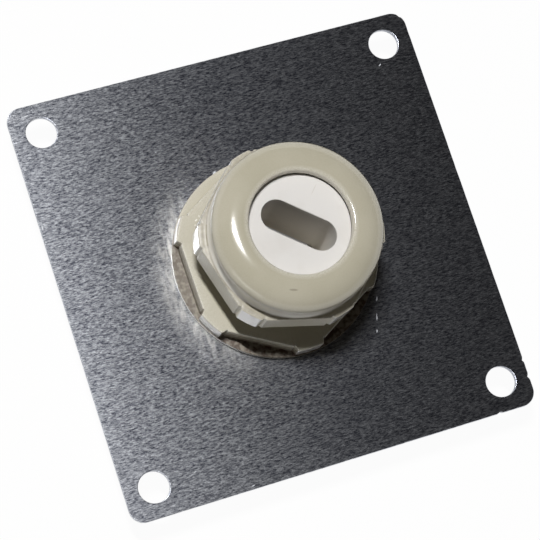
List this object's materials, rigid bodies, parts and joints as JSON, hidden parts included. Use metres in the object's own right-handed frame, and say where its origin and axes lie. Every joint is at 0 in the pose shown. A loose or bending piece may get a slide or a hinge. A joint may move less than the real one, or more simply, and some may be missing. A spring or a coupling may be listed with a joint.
{
  "type": "cable feed-through",
  "caption": "Square aluminium plate with corner holes carrying a plastic cable gland: hex body, dome nut, lock nut behind, and a white sealing insert slotted for a flat cable.",
  "frame": {"origin": "centre of the end face of the gland's entry thread, on which the part stands; the gland's axis", "axes": "+Z along the gland's axis from the entry thread to the dome nut; X and Y along the plate's sides"},
  "size_m": [0.085, 0.085, 0.0382],
  "materials": {
    "plate_aluminium": "rolled, fine grain along X",
    "body_polyamide": "moulded, semi-gloss pebble grey",
    "nut_polyamide": "moulded, semi-gloss pebble grey",
    "lock_nut_polyamide": "moulded, semi-gloss pebble grey",
    "insert_rubber": "matt white",
    "gasket_rubber": "matt black"
  },
  "bodies": {
    "root": {"mounting_plate": "plate_aluminium", "gland_body": "body_polyamide", "dome_nut": "nut_polyamide", "lock_nut": "lock_nut_polyamide", "sealing_insert": "insert_rubber", "flange_gasket": "gasket_rubber"}
  },
  "joints": []
}
